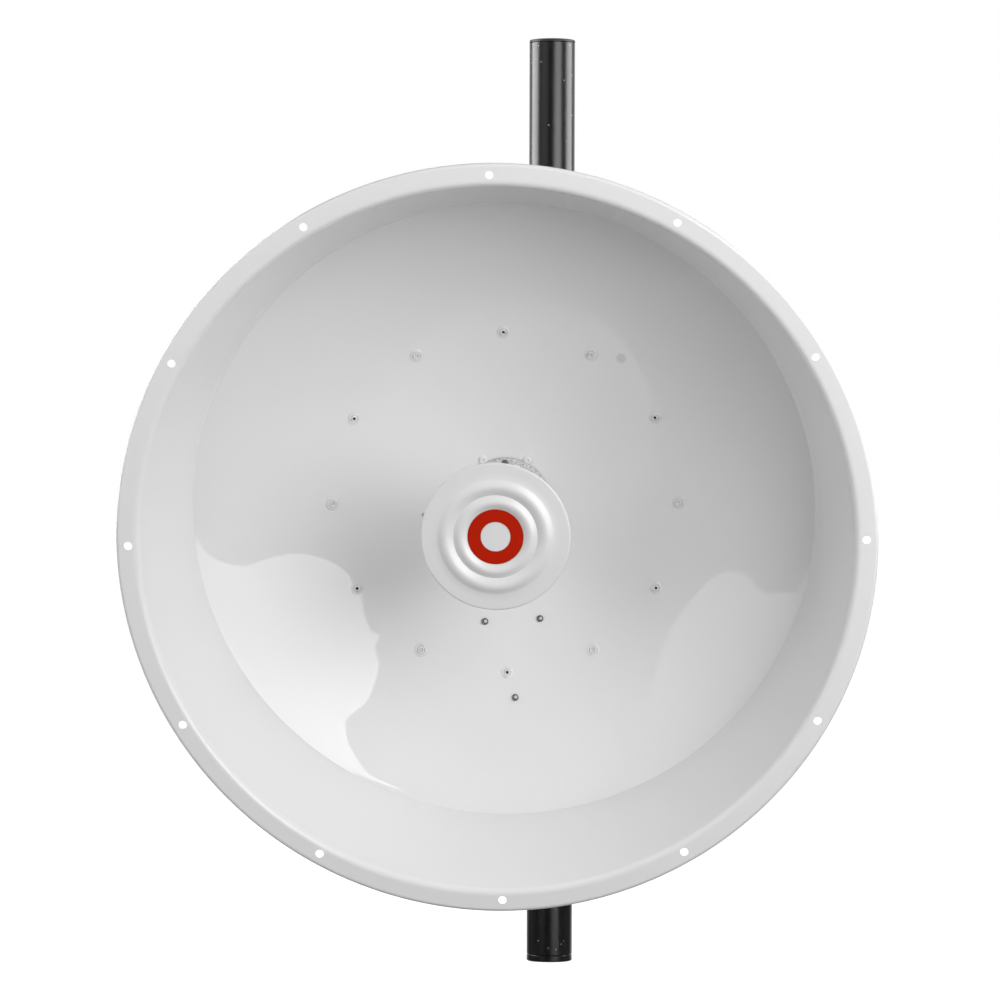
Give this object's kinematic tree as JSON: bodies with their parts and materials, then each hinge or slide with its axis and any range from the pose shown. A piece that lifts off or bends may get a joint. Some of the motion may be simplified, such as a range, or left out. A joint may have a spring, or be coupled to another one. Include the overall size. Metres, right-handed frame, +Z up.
{
  "type": "parabolic dish antenna",
  "caption": "Deep round dish antenna with a flanged drilled rim, steep wall, short central feed with a ridged cap and red ring, on a tilting bracket clamped to a round mast.",
  "frame": {"origin": "centre of the underside of the mast's foot plate, on the mast axis", "axes": "+Z up along the mast, -Y the way the dish looks when level, +X to the right as the dish is looked into"},
  "size_m": [0.65, 0.4672, 0.8556],
  "materials": {
    "dish_paint": "satin",
    "zinc_steel": "satin",
    "cast_aluminium": "matte",
    "cap_plastic": "satin",
    "red_paint": "satin",
    "nickel_plate": "polished",
    "mast_paint": "gloss",
    "black_plastic": "matte"
  },
  "bodies": {
    "mast": {"mast_tube": "mast_paint", "mast_foot_plate": "mast_paint", "mast_top_plug": "black_plastic"},
    "yoke": {"mast_plate": "zinc_steel", "lug_left": "zinc_steel", "lug_right": "zinc_steel", "saddle_lower": "cast_aluminium", "saddle_upper": "cast_aluminium", "u_bolt_lower": "zinc_steel", "u_bolt_upper": "zinc_steel", "clamp_nut_lower_left": "zinc_steel", "clamp_nut_lower_right": "zinc_steel", "clamp_nut_upper_left": "zinc_steel", "clamp_nut_upper_right": "zinc_steel", "pivot_bolt": "zinc_steel", "pivot_nut": "zinc_steel", "pivot_spacer_left": "zinc_steel", "pivot_spacer_right": "zinc_steel", "lock_bolt_left": "zinc_steel", "lock_bolt_right": "zinc_steel", "lock_nut_left": "zinc_steel", "lock_nut_right": "zinc_steel", "lock_spacer_left": "zinc_steel", "lock_spacer_right": "zinc_steel"},
    "dish": {"reflector": "dish_paint", "mounting_pan": "zinc_steel", "tilt_plate": "zinc_steel", "tilt_cheek_left": "zinc_steel", "tilt_cheek_right": "zinc_steel", "plate_bolt_top_left": "zinc_steel", "plate_bolt_top_right": "zinc_steel", "plate_bolt_bottom_left": "zinc_steel", "plate_bolt_bottom_right": "zinc_steel", "feed_flange": "cast_aluminium", "feed_tube": "cast_aluminium", "feed_cone": "cap_plastic", "feed_cap": "cap_plastic", "marker_ring": "red_paint", "marker_disc": "cap_plastic", "feed_body": "cast_aluminium", "connector_left": "nickel_plate", "connector_right": "nickel_plate"}
  },
  "joints": [
    {"name": "azimuth", "type": "hinge", "parent": "mast", "child": "yoke", "pos_m": [0, 0, 0.44653], "axis": [0, 0, 1], "continuous": true},
    {"name": "elevation", "type": "hinge", "parent": "yoke", "child": "dish", "pos_m": [-0.033, -0.09035, 0.44653], "axis": [-1, 0, 0], "range_deg": [-4, 26]}
  ]
}
